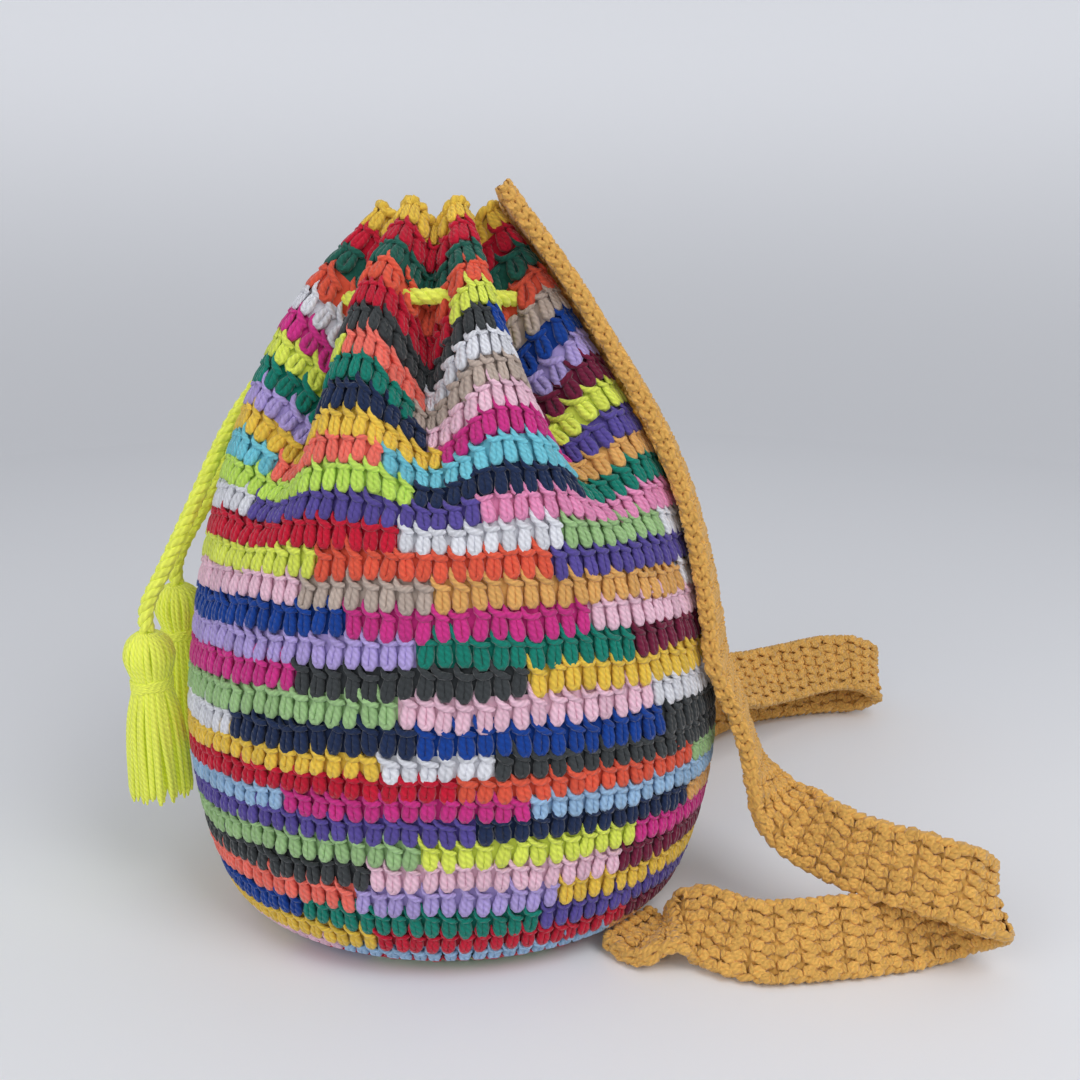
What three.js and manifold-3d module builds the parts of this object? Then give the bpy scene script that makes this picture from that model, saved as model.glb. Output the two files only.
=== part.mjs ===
// Crochet drawstring backpack, in millimetres, +Z up.
// The origin is the middle of the flat base. The drawstring hangs on the front, at -Y,
// and the two straps run down the back, at +Y.
import * as THREE from 'three';
import { mergeVertices } from 'three/addons/utils/BufferGeometryUtils.js';
import Module from 'manifold-3d';

// Bag: one crocheted piece, a flat base with a wall worked in rows up to the rim
const bagHeight = 347;
const baseDepth = 184;
const heelRun = 28;
const heelRise = 22;
const bellyDepth = 272;
const bellyWidth = 218;
const bellyHeight = 95;
const shoulderDepth = 234;
const shoulderHeight = 206;
const shoulderForward = 2;
const neckDepth = 152;
const neckHeight = 290;
const neckForward = 8;
const rimDepth = 60;
const rimForward = 5;
const wallThickness = 6;
const lowerRows = 12;
const lowerRowPitch = 9.8;
const rowPitch = 13;
const rowRelief = 1.3;
const sideLean = 8;
const leanStart = 70;

// Gathers: the folds that the drawstring pulls into the top of the wall. The rows dip in the
// valleys, by the slope for each millimetre of depth
const foldAngles = [-22, 23, 68, 113, 158, 202, 247, 293];
const neckFoldDepth = 27;
const rimFoldDepth = 9;
const foldSlope = 1.1;
const valleySharpness = 1.6;
const foldStartHeight = 175;
const foldFullHeight = 300;
const wallSegments = 56;
const innerRings = 13;

// Drawstring: one braided cord through the eyelets below the rim, both tails at the front
const cordDiameter = 8;
const cordSides = 8;
const cordPitch = 16;
const cordDrop = 36;
const cordInset = 18;
const eyeletClearance = 0.5;
const loopSpread = 32;
const loopPoints = 28;
const rightTail = [
  [-24.5, -52.5, 302.6], [-31, -59, 300.4], [-35, -67, 295.8], [-36.5, -76, 287], [-36, -87, 273.5],
  [-33, -98, 259], [-28, -108.5, 244], [-22, -117, 228], [-15, -125, 210], [-7, -134, 190],
  [-1, -143, 171], [3, -150, 157], [4, -152, 149], [4, -152, 141],
];
const leftTail = [
  [-60, -53, 297.2], [-53.7, -60, 296], [-50, -68.5, 292], [-49, -78.5, 282.5], [-50, -90, 268.5],
  [-51, -101, 254], [-51, -111, 239], [-50, -119, 223], [-48, -126, 207], [-45, -133, 193],
  [-43, -141, 180], [-41, -147, 168], [-40, -149, 160], [-40, -149, 152],
];

// Tassels: a yarn bundle folded over the cord's end and bound with a few turns
const tasselLength = 90;
const tasselHeadDiameter = 26;
const tasselWaistDiameter = 19;
const tasselSkirtDiameter = 33;
const tasselHeadLength = 24;
const tasselFlutes = 12;
const tasselFluteDepth = 1.6;
const tieWidth = 6;
const tieThickness = 2.4;
const seatGap = 0.3;

// Straps: two flat crocheted bands, sewn at the rim and at the base edge
const strapWidth = 38;
const strapThickness = 8;
const strapEdge = 3;
const strapRowPitch = 10.5;
const strapRelief = 0.8;
const strapTopSpread = 20;
const rightLeaveSpread = 32;
const rightTouchAngle = 12;
const leftLeaveSpread = 56;
const leftTouchAngle = 26;
const strapBaseAngle = 38;
const strapLeaveHeight = 128;
const strapTopReach = 1;
const strapWallGap = 0.5;
const strapWallStations = 16;
const strapFlatEnd = 18;
const strapLift = 1.5;
const rightStrapRun = [
  [34, 6, 102, -1, 0.1, 0.1], [40, 19, 66, -0.93, 0, 0.36], [52, 37, 43, -0.75, -0.1, 0.65],
  [68, 61, 33, -0.45, -0.1, 0.88], [82, 88, 31, -0.35, -0.12, 0.92], [89, 109, 28, -0.35, -0.2, 0.92],
  [85, 124, 17, -0.4, -0.2, 0.9], [76, 112, 4.4, -0.5, -0.1, 0.85], [82, 88, 1.2, -0.55, 0, 0.83],
  [91, 46, 1.2, -0.55, 0, 0.83], [93, 6, 1.2, -0.58, 0.12, 0.8], [80, -27, 4.2, -0.62, 0.42, 0.6],
];
const leftStrapRun = [
  [-54, 2, 100, -0.95, -0.3, 0.1], [-92, 22, 64, -0.7, -0.6, 0.35], [-128, 48, 42, -0.45, -0.45, 0.77],
  [-160, 78, 33, -0.38, -0.3, 0.87], [-184, 108, 29, -0.4, -0.18, 0.9], [-196, 132, 23, -0.45, -0.1, 0.9],
  [-204, 142, 12, -0.5, 0, 0.87], [-210, 129, 3, -0.55, 0.1, 0.83], [-208, 98, 1.4, -0.55, 0.05, 0.83],
  [-190, 50, 1.4, -0.5, -0.25, 0.82], [-150, 8, 1.4, -0.4, -0.4, 0.8], [-98, -22, 3.8, -0.45, -0.6, 0.6],
];

const yarn = {
  crimson: 0xb3152f,
  mustard: 0xd6a04a,
  neon: 0xd8ea2e,
};

const wasm = await Module();
wasm.setup();

function yarnMaterial(color) {
  return new THREE.MeshStandardMaterial({ color, roughness: 0.9, metalness: 0 });
}

function signedVolume(points, triangles) {
  let volume = 0;
  for (const [a, b, c] of triangles) {
    volume += points[a].dot(new THREE.Vector3().crossVectors(points[b], points[c]));
  }
  return volume / 6;
}

// A closed skin over a row of rings with equal counts; each end is closed by a fan
function skinOverRings(rings) {
  const count = rings[0].length;
  const points = rings.flat();
  const triangles = [];
  for (let ring = 0; ring + 1 < rings.length; ring += 1) {
    for (let i = 0; i < count; i += 1) {
      const a = ring * count + i;
      const b = ring * count + (i + 1) % count;
      triangles.push([a, b, b + count], [a, b + count, a + count]);
    }
  }
  for (const ring of [0, rings.length - 1]) {
    const centre = new THREE.Vector3();
    for (const point of rings[ring]) {
      centre.addScaledVector(point, 1 / count);
    }
    const pole = points.push(centre) - 1;
    for (let i = 0; i < count; i += 1) {
      const a = ring * count + i;
      const b = ring * count + (i + 1) % count;
      triangles.push(ring === 0 ? [b, a, pole] : [a, b, pole]);
    }
  }
  const outward = signedVolume(points, triangles) > 0;
  const geometry = new THREE.BufferGeometry().setFromPoints(points);
  geometry.setIndex(triangles.flatMap((t) => (outward ? t : [t[0], t[2], t[1]])));
  geometry.computeVertexNormals();
  return geometry;
}

function solidOf(geometry) {
  const bare = new THREE.BufferGeometry();
  bare.setAttribute('position', geometry.getAttribute('position'));
  bare.setIndex(geometry.getIndex());
  const merged = mergeVertices(bare, 1e-4);
  return new wasm.Manifold(new wasm.Mesh({
    numProp: 3,
    vertProperties: new Float32Array(merged.getAttribute('position').array),
    triVerts: new Uint32Array(merged.getIndex().array),
  }));
}

function geometryOf(solid) {
  const mesh = solid.getMesh();
  const geometry = new THREE.BufferGeometry();
  geometry.setAttribute('position', new THREE.BufferAttribute(mesh.vertProperties, 3));
  geometry.setIndex(new THREE.BufferAttribute(mesh.triVerts, 1));
  geometry.computeVertexNormals();
  return geometry;
}

// Wall profile from the base edge to the rim: half depth, middle and height
const profile = new THREE.CatmullRomCurve3([
  new THREE.Vector3(baseDepth / 2, 0, 0),
  new THREE.Vector3(baseDepth / 2 + heelRun, 0, heelRise),
  new THREE.Vector3(bellyDepth / 2, 0, bellyHeight),
  new THREE.Vector3(shoulderDepth / 2, -shoulderForward, shoulderHeight),
  new THREE.Vector3(neckDepth / 2, -neckForward, neckHeight),
  new THREE.Vector3(rimDepth / 2, -rimForward, bagHeight),
], false, 'catmullrom', 0.5);
profile.arcLengthDivisions = 800;
const lowerShare = lowerRows * lowerRowPitch / profile.getLength();
const upperRows = Math.round((1 - lowerShare) * profile.getLength() / rowPitch);
const rows = lowerRows + upperRows;

// The share of the profile below a row: the rows of the base and heel are the lower ones
function rowShare(row) {
  if (row < lowerRows) {
    return lowerShare * row / lowerRows;
  }
  return lowerShare + (1 - lowerShare) * (row - lowerRows) / upperRows;
}

function profileShareAt(height) {
  let low = 0;
  let high = 1;
  for (let step = 0; step < 40; step += 1) {
    const middle = (low + high) / 2;
    if (profile.getPointAt(middle).z < height) {
      low = middle;
    } else {
      high = middle;
    }
  }
  return low;
}

// 0 on the crest of a fold and 1 in the valley between two folds
function foldAt(angle) {
  const turn = THREE.MathUtils.euclideanModulo(angle - foldAngles[0], 360) + foldAngles[0];
  const index = foldAngles.findLastIndex((crest) => crest <= turn);
  const next = foldAngles[index + 1] ?? foldAngles[0] + 360;
  const share = (turn - foldAngles[index]) / (next - foldAngles[index]);
  return ((1 - Math.cos(2 * Math.PI * share)) / 2) ** valleySharpness;
}

function gatherAt(height) {
  return THREE.MathUtils.smoothstep(height, foldStartHeight, foldFullHeight);
}

// The standing bag sags a little to one side: its rows tilt and its axis leans
function lean(point) {
  const share = THREE.MathUtils.smoothstep(point.z, 0, leanStart);
  const slope = Math.tan(THREE.MathUtils.degToRad(sideLean)) * share;
  return new THREE.Vector3(point.x - point.z * slope, point.y, point.z + point.x * slope);
}

// A point of the wall: share runs up the profile, inset goes into the cloth, and fold is
// how much of the gathers counts: 1 follows every fold and 0 spans the crests
function wallPoint(share, angle, inset, fold) {
  const place = profile.getPointAt(share);
  const along = profile.getTangentAt(share);
  const valley = fold * foldAt(angle);
  const gather = gatherAt(place.z) * valley;
  const rimward = THREE.MathUtils.smoothstep(place.z, neckHeight, bagHeight);
  const depth = THREE.MathUtils.lerp(neckFoldDepth, rimFoldDepth, rimward);
  const radius = place.x - inset * along.z - depth * gather;
  const bellyShare = THREE.MathUtils.smoothstep(place.z, bellyHeight, bagHeight);
  const flatness = THREE.MathUtils.lerp(bellyWidth / bellyDepth, 1, bellyShare);
  const turn = THREE.MathUtils.degToRad(angle);
  return lean(new THREE.Vector3(
    radius * flatness * Math.cos(turn),
    place.y + radius * Math.sin(turn),
    place.z + inset * along.x - foldSlope * depth * gather,
  ));
}

function wallRing(share, inset) {
  const ring = [];
  for (let i = 0; i < wallSegments; i += 1) {
    ring.push(wallPoint(share, i * 360 / wallSegments, inset, 1));
  }
  return ring;
}

function bagGeometry(threading) {
  const rings = [wallRing(0, 0)];
  for (let row = 0; row < rows; row += 1) {
    rings.push(wallRing(rowShare(row + 0.5), 0));
    rings.push(wallRing(rowShare(row + 1), row + 1 < rows ? rowRelief : 0));
  }
  const floorShare = profileShareAt(heelRise + wallThickness);
  for (let ring = innerRings; ring >= 0; ring -= 1) {
    rings.push(wallRing(floorShare + (1 - floorShare) * ring / innerRings, wallThickness));
  }
  rings.push(rings.at(-1).map((point) => new THREE.Vector3(
    point.x * (1 - heelRun / bellyWidth),
    point.y * (1 - heelRun / bellyDepth),
    wallThickness,
  )));
  return geometryOf(solidOf(skinOverRings(rings)).subtract(threading));
}

// Round section along a curve, closed at both ends
function cordGeometry(points, diameter) {
  const route = new THREE.CatmullRomCurve3(points, false, 'centripetal');
  const section = new THREE.Shape();
  for (let side = 0; side < cordSides; side += 1) {
    const turn = side * 2 * Math.PI / cordSides;
    const x = diameter / 2 * Math.cos(turn);
    const y = diameter / 2 * Math.sin(turn);
    if (side === 0) {
      section.moveTo(x, y);
    } else {
      section.lineTo(x, y);
    }
  }
  section.closePath();
  return new THREE.ExtrudeGeometry(section, {
    steps: Math.round(route.getLength() / cordPitch),
    extrudePath: route,
    bevelEnabled: false,
  });
}

// The cord rings the neck half way between crests and valleys, so it passes through
// each side of a fold: inside the crests and outside the valleys
function cordRoute() {
  const share = profileShareAt(bagHeight - cordDrop);
  const points = rightTail.map((point) => new THREE.Vector3(...point)).reverse();
  for (let i = 0; i <= loopPoints; i += 1) {
    const angle = -90 + loopSpread + i * (360 - 2 * loopSpread) / loopPoints;
    points.push(wallPoint(share, angle, cordInset, 0));
  }
  for (const point of leftTail) {
    points.push(new THREE.Vector3(...point));
  }
  return points;
}

// Centre points and width directions of a strap where it lies on the wall, rim first.
// The flat band touches the round wall near the back's middle and reaches out from there
function strapOnWall(side, touchAngle, leaveSpread) {
  const leaveShare = profileShareAt(strapLeaveHeight);
  const out = -strapThickness / 2 - strapWallGap;
  const stations = [];
  for (let i = 0; i <= strapWallStations; i += 1) {
    const descent = i / strapWallStations;
    const share = THREE.MathUtils.lerp(1, leaveShare, descent);
    const angle = 90 - side * touchAngle * descent;
    const touch = wallPoint(share, angle, out, 0);
    const across = wallPoint(share, angle + 1, out, 0).sub(wallPoint(share, angle - 1, out, 0)).normalize();
    const middle = wallPoint(share, 90, out, 0);
    const spread = THREE.MathUtils.lerp(strapTopSpread, leaveSpread, descent);
    const reach = spread - Math.abs(touch.x - middle.x);
    stations.push({ at: touch.addScaledVector(across, -side * reach), across });
  }
  const [rim, below] = stations;
  const rise = rim.at.clone().sub(below.at).setLength(strapTopReach);
  stations.unshift({ at: rim.at.clone().add(rise), across: rim.across });
  return stations;
}

// The strap's other end lies flat on the table, sewn to the base edge under the heel
function strapAtBase(side) {
  const angle = 90 - side * strapBaseAngle;
  const share = profileShareAt(strapThickness + strapLift + strapWallGap);
  const before = wallPoint(share, angle - 1, -strapWallGap, 0);
  const after = wallPoint(share, angle + 1, -strapWallGap, 0);
  const across = after.sub(before).setZ(0).normalize();
  const end = wallPoint(share, angle, -strapWallGap, 0).setZ(strapThickness / 2 + strapLift);
  const outward = new THREE.Vector3(across.y, -across.x, 0).multiplyScalar(strapFlatEnd);
  return [{ at: end.clone().add(outward), across }, { at: end, across }];
}

// The free loop is given by its lower edge, which rests on the table on the way back,
// and by the way that the band's width points from there
function strapFreeRun(run) {
  return run.map(([x, behind, z, ...width]) => {
    const across = new THREE.Vector3(...width).normalize();
    const edge = new THREE.Vector3(x, bellyDepth / 2 + behind, z);
    return { at: edge.addScaledVector(across, strapWidth / 2), across };
  });
}

function strapGeometry(side, touchAngle, leaveSpread, run) {
  const onWall = strapOnWall(side, touchAngle, leaveSpread);
  const stations = [...onWall, ...strapFreeRun(run), ...strapAtBase(side)];
  const centre = new THREE.CatmullRomCurve3(stations.map((s) => s.at), false, 'centripetal');
  const widths = new THREE.CatmullRomCurve3(stations.map((s) => s.across), false, 'catmullrom', 0.5);
  const bandRows = Math.round(centre.getLength() / strapRowPitch);
  const rings = [];
  for (let i = 0; i <= 2 * bandRows; i += 1) {
    const share = i / (2 * bandRows);
    const along = centre.getTangentAt(share);
    const across = widths.getPoint(centre.getUtoTmapping(share));
    across.addScaledVector(along, -across.dot(along)).normalize();
    const face = new THREE.Vector3().crossVectors(along, across);
    const half = strapThickness / 2 - (i % 2 === 0 ? strapRelief : 0);
    const inner = strapWidth / 2 - strapEdge;
    const section = [
      [-strapWidth / 2, 0], [-inner, -half], [inner, -half],
      [strapWidth / 2, 0], [inner, half], [-inner, half],
    ];
    const at = centre.getPointAt(share);
    rings.push(section.map(([w, t]) => at.clone().addScaledVector(across, w).addScaledVector(face, t)));
  }
  return skinOverRings(rings);
}

// A yarn bundle hanging from the origin: a round head, a bound waist and a fluted skirt
function tasselGeometry() {
  const waistEnd = tasselHeadLength + tieWidth;
  const levels = [
    [0, cordDiameter / 2, 0],
    [tasselHeadLength * 0.2, tasselHeadDiameter * 0.42, 0],
    [tasselHeadLength * 0.55, tasselHeadDiameter / 2, 0],
    [tasselHeadLength, tasselWaistDiameter / 2, 0],
    [waistEnd, tasselWaistDiameter / 2, 0],
    [waistEnd + (tasselLength - waistEnd) * 0.2, tasselSkirtDiameter * 0.42, 0.6],
    [waistEnd + (tasselLength - waistEnd) * 0.6, tasselSkirtDiameter * 0.48, 1],
    [tasselLength, tasselSkirtDiameter / 2, 1],
  ];
  const count = 2 * tasselFlutes;
  return skinOverRings(levels.map(([drop, radius, flute]) => {
    const ring = [];
    for (let i = 0; i < count; i += 1) {
      const turn = i * 2 * Math.PI / count;
      const reach = radius - flute * tasselFluteDepth * (i % 2);
      ring.push(new THREE.Vector3(reach * Math.cos(turn), reach * Math.sin(turn), -drop));
    }
    return ring;
  }));
}

// The binding: a ring of yarn turns round the waist
function tieGeometry() {
  const inner = tasselWaistDiameter / 2 + seatGap;
  const outer = inner + tieThickness;
  const top = -tasselHeadLength - seatGap;
  const foot = top - tieWidth + 2 * seatGap;
  const section = [
    [inner, foot], [(inner + outer) / 2, foot], [outer, (2 * foot + top) / 3],
    [outer, (foot + 2 * top) / 3], [(inner + outer) / 2, top], [inner, top], [inner, foot],
  ].map(([x, y]) => new THREE.Vector2(x, y));
  const ring = new THREE.LatheGeometry(section, 2 * tasselFlutes);
  ring.rotateX(Math.PI / 2);
  return ring;
}

const bag = new THREE.Group();

function addPiece(parent, name, geometry, color) {
  const piece = new THREE.Mesh(geometry, yarnMaterial(color));
  piece.name = name;
  parent.add(piece);
}

function addTassel(name, tail) {
  const tassel = new THREE.Group();
  tassel.position.set(...tail.at(-1));
  tassel.position.z -= seatGap;
  addPiece(tassel, name, tasselGeometry(), yarn.neon);
  addPiece(tassel, `${name}_tie`, tieGeometry(), yarn.neon);
  bag.add(tassel);
}

const route = cordRoute();
const threading = solidOf(cordGeometry(route, cordDiameter + 2 * eyeletClearance));
addPiece(bag, 'bag_body', bagGeometry(threading), yarn.crimson);
addPiece(bag, 'drawstring', cordGeometry(route, cordDiameter), yarn.neon);
const rightStrap = strapGeometry(1, rightTouchAngle, rightLeaveSpread, rightStrapRun);
const leftStrap = strapGeometry(-1, leftTouchAngle, leftLeaveSpread, leftStrapRun);
addPiece(bag, 'strap_right', rightStrap, yarn.mustard);
addPiece(bag, 'strap_left', leftStrap, yarn.mustard);
addTassel('tassel_right', rightTail);
addTassel('tassel_left', leftTail);

export default bag;
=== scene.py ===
import math

import bpy
import numpy as np
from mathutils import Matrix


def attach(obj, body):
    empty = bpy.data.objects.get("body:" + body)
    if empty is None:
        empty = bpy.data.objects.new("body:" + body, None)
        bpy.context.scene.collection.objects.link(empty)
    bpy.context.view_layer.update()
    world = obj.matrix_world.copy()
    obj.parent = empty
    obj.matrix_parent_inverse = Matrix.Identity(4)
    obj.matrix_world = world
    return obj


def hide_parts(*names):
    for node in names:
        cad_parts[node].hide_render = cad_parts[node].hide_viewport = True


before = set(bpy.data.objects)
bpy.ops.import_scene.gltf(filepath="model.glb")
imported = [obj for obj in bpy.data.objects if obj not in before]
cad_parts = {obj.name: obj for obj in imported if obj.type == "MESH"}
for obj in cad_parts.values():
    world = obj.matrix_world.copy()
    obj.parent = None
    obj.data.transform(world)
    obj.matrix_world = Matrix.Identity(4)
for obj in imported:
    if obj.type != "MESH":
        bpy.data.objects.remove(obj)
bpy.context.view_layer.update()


# Camera: stands at the bag's right side, level with the mouth, and looks down at the middle, with the
# front and its tassels on the left and the strap loops on the right.
camera_data = bpy.data.cameras.new("camera")
camera_data.lens = 40.0
camera_data.sensor_width = 36.0
camera = bpy.data.objects.new("camera", camera_data)
camera.location = (0.570, 0.045, 0.350)
camera.rotation_euler = (math.radians(74.1), 0.0, math.radians(90.0))
bpy.context.scene.collection.objects.link(camera)
bpy.context.scene.camera = camera


# Drawstring: one rope of three neon yellow strands twisted together, 8 mm thick. It goes through
# the eyelets round the neck, and its two tails hang down the front.

# Its yarn, as that of every other piece, is thick soft cotton, spun from fine fibres and plied.
# Each strand differs a little in depth of colour, and its plies turn round it; the grooves between the plies
# are darkened with painted shade.
ply_count = 3.0
ply_turns_per_metre = 330.0
ply_relief = 0.45
fibre_scale = 900.0
yarn_relief = 0.0006
yarn_effect = bpy.data.node_groups.new("plied_yarn", "ShaderNodeTree")
yarn_effect.interface.new_socket("Color", in_out="INPUT", socket_type="NodeSocketColor")
yarn_effect.interface.new_socket("Color", in_out="OUTPUT", socket_type="NodeSocketColor")
yarn_effect.interface.new_socket("Roughness", in_out="OUTPUT", socket_type="NodeSocketFloat")
yarn_effect.interface.new_socket("Height", in_out="OUTPUT", socket_type="NodeSocketFloat")
nodes = yarn_effect.nodes
links = yarn_effect.links
group_in = nodes.new("NodeGroupInput")
group_out = nodes.new("NodeGroupOutput")
strand = nodes.new("ShaderNodeNewGeometry")
depth = nodes.new("ShaderNodeMapRange")
depth.inputs["To Min"].default_value = 0.86
depth.inputs["To Max"].default_value = 1.06
links.new(strand.outputs["Random Per Island"], depth.inputs["Value"])
tint = nodes.new("ShaderNodeHueSaturation")
links.new(group_in.outputs["Color"], tint.inputs["Color"])
links.new(tint.outputs["Color"], group_out.inputs["Color"])
strand_map = nodes.new("ShaderNodeUVMap")
strand_map.uv_map = "strand"
strand_axes = nodes.new("ShaderNodeSeparateXYZ")
links.new(strand_map.outputs["UV"], strand_axes.inputs["Vector"])
ply_turn = nodes.new("ShaderNodeMath")
ply_turn.operation = "MULTIPLY_ADD"
ply_turn.inputs[1].default_value = ply_turns_per_metre
links.new(strand_axes.outputs["X"], ply_turn.inputs[0])
ply_round = nodes.new("ShaderNodeMath")
ply_round.operation = "MULTIPLY"
ply_round.inputs[1].default_value = ply_count
links.new(strand_axes.outputs["Y"], ply_round.inputs[0])
links.new(ply_round.outputs["Value"], ply_turn.inputs[2])
ply_angle = nodes.new("ShaderNodeMath")
ply_angle.operation = "MULTIPLY"
ply_angle.inputs[1].default_value = 2 * math.pi
links.new(ply_turn.outputs["Value"], ply_angle.inputs[0])
ply = nodes.new("ShaderNodeMath")
ply.operation = "SINE"
links.new(ply_angle.outputs["Value"], ply.inputs[0])
# Painted shade: the colour darkens in the grooves between the plies, where they would shade each other
ply_groove_shade = nodes.new("ShaderNodeMapRange")
ply_groove_shade.inputs["From Min"].default_value = -1.0
ply_groove_shade.inputs["To Min"].default_value = 0.84
ply_groove_shade.inputs["To Max"].default_value = 1.04
links.new(ply.outputs["Value"], ply_groove_shade.inputs["Value"])
# The strand's random depth of colour times the painted shade of the ply grooves
tone_and_ply_shade = nodes.new("ShaderNodeMath")
tone_and_ply_shade.operation = "MULTIPLY"
links.new(depth.outputs["Result"], tone_and_ply_shade.inputs[0])
links.new(ply_groove_shade.outputs["Result"], tone_and_ply_shade.inputs[1])
links.new(tone_and_ply_shade.outputs["Value"], tint.inputs["Value"])
place = nodes.new("ShaderNodeTexCoord")
fibres = nodes.new("ShaderNodeTexNoise")
fibres.inputs["Scale"].default_value = fibre_scale
fibres.inputs["Detail"].default_value = 3.0
links.new(place.outputs["Object"], fibres.inputs["Vector"])
height = nodes.new("ShaderNodeMath")
height.operation = "MULTIPLY_ADD"
height.inputs[1].default_value = ply_relief
links.new(ply.outputs["Value"], height.inputs[0])
links.new(fibres.outputs["Fac"], height.inputs[2])
links.new(height.outputs["Value"], group_out.inputs["Height"])
rough = nodes.new("ShaderNodeMapRange")
rough.inputs["To Min"].default_value = 0.78
rough.inputs["To Max"].default_value = 0.95
links.new(fibres.outputs["Fac"], rough.inputs["Value"])
links.new(rough.outputs["Result"], group_out.inputs["Roughness"])


# A yarn of one colour, given as it looks, from 0 to 255
def yarn(name, red, green, blue):
    material = bpy.data.materials.new(name + "_yarn")
    material.use_nodes = True
    tree = material.node_tree
    shader = tree.nodes["Principled BSDF"]
    effect = tree.nodes.new("ShaderNodeGroup")
    effect.node_tree = yarn_effect
    linear = [((c / 255 + 0.055) / 1.055) ** 2.4 for c in (red, green, blue)]
    effect.inputs["Color"].default_value = (*linear, 1.0)
    bump = tree.nodes.new("ShaderNodeBump")
    bump.inputs["Strength"].default_value = 0.5
    bump.inputs["Distance"].default_value = yarn_relief
    tree.links.new(effect.outputs["Height"], bump.inputs["Height"])
    tree.links.new(effect.outputs["Color"], shader.inputs["Base Color"])
    tree.links.new(effect.outputs["Roughness"], shader.inputs["Roughness"])
    tree.links.new(bump.outputs["Normal"], shader.inputs["Normal"])
    shader.inputs["Specular IOR Level"].default_value = 0.2
    shader.inputs["Sheen Weight"].default_value = 0.25
    shader.inputs["Sheen Roughness"].default_value = 0.5
    material.diffuse_color = (*linear, 1.0)
    return material


# Directions of length one; a direction of no length stays so
def unit(directions):
    return directions / (np.linalg.norm(directions, axis=-1, keepdims=True) + 1e-12)


# Round strands swept along many lines at once; radius holds the half width and the half depth
def strands(lines, outward, radius, sides, yarns):
    along = unit(np.gradient(lines, axis=1))
    across = unit(np.cross(outward, along))
    up = np.cross(along, across)
    turn = np.arange(sides) * 2 * np.pi / sides
    ring = across[:, :, None] * (np.cos(turn) * radius[..., 0, None])[..., None]
    ring = ring + up[:, :, None] * (np.sin(turn) * radius[..., 1, None])[..., None]
    points = lines[:, :, None] + ring
    index = np.arange(points[..., 0].size).reshape(points.shape[:3])
    after = np.roll(index, -1, axis=2)
    quads = np.stack([index[:, :-1], after[:, :-1], after[:, 1:], index[:, 1:]], axis=-1)
    run = np.cumsum(np.linalg.norm(np.diff(lines, axis=1, prepend=lines[:, :1]), axis=2), axis=1)
    share = np.arange(sides) / sides
    corner_u = np.stack([run[:, :-1], run[:, :-1], run[:, 1:], run[:, 1:]], axis=-1)
    corner_v = np.stack([share, share + 1 / sides, share + 1 / sides, share], axis=-1)
    u = np.broadcast_to(corner_u[:, :, None], quads.shape)
    v = np.broadcast_to(corner_v, quads.shape)
    uv = np.stack([u, v], axis=-1)
    colours = np.broadcast_to(np.asarray(yarns).reshape(-1, 1, 1), quads.shape[:3])
    return points.reshape(-1, 3), quads.reshape(-1, 4), uv.reshape(-1, 2), colours.reshape(-1)


# One mesh of many strands; no point of it lies lower than floor
def yarn_piece(name, parts, materials, floor=None):
    sizes = np.cumsum([0] + [len(part[0]) for part in parts])
    points = np.vstack([part[0] for part in parts])
    if floor is not None:
        points[:, 2] = np.maximum(points[:, 2], floor)
    quads = np.vstack([part[1] + start for part, start in zip(parts, sizes)])
    corners = np.vstack([part[2] for part in parts])
    colours = np.concatenate([part[3] for part in parts])
    mesh = bpy.data.meshes.new(name)
    mesh.vertices.add(len(points))
    mesh.vertices.foreach_set("co", points.astype(np.float32).ravel())
    mesh.loops.add(quads.size)
    mesh.loops.foreach_set("vertex_index", quads.astype(np.int32).ravel())
    mesh.polygons.add(len(quads))
    mesh.polygons.foreach_set("loop_start", np.arange(0, quads.size, 4, dtype=np.int32))
    mesh.polygons.foreach_set("material_index", colours.astype(np.int32))
    mesh.uv_layers.new(name="strand")
    mesh.uv_layers["strand"].data.foreach_set("uv", corners.astype(np.float32).ravel())
    mesh.update(calc_edges=True)
    mesh.shade_smooth()
    for material in materials:
        mesh.materials.append(material)
    piece = bpy.data.objects.new(name, mesh)
    bpy.context.scene.collection.objects.link(piece)
    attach(piece, "root")
    return piece


# The rope's colour, its twist and the steps that its line is drawn in
neon = yarn("neon", 238, 245, 100)
neon_shader = neon.node_tree.nodes["Principled BSDF"]
# The neon yarn of the rope and tassels glows faintly: painted light that makes it look as bright as
# fluorescent yarn
neon_shader.inputs["Emission Color"].default_value = (0.75, 0.85, 0.06, 1.0)
neon_shader.inputs["Emission Strength"].default_value = 0.13
rope_strands = 3
rope_lead = 0.017
rope_offset = 0.0022
rope_radius = 0.0019
rope_strand_widening = 1.1
rope_sides = 8
rope_step = 0.0013
rope_first_side = (0.3, 0.9, 0.2)
span_steps = 24


# Points with one more at each end, straight on, so that a smooth line can start and end on the given ones
def extended(points):
    return np.vstack([2 * points[0] - points[1], points, 2 * points[-1] - points[-2]])


# A cubic stretch from start to end, with the slopes that it leaves and arrives with
def stretch(t, start, leave, end, arrive):
    return ((2 * t**3 - 3 * t**2 + 1) * start + (t**3 - 2 * t**2 + t) * leave
            + (3 * t**2 - 2 * t**3) * end + (t**3 - t**2) * arrive)


# How far along a line each of its points is
def run_along(points):
    return np.concatenate([[0], np.cumsum(np.linalg.norm(np.diff(points, axis=0), axis=1))])


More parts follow.
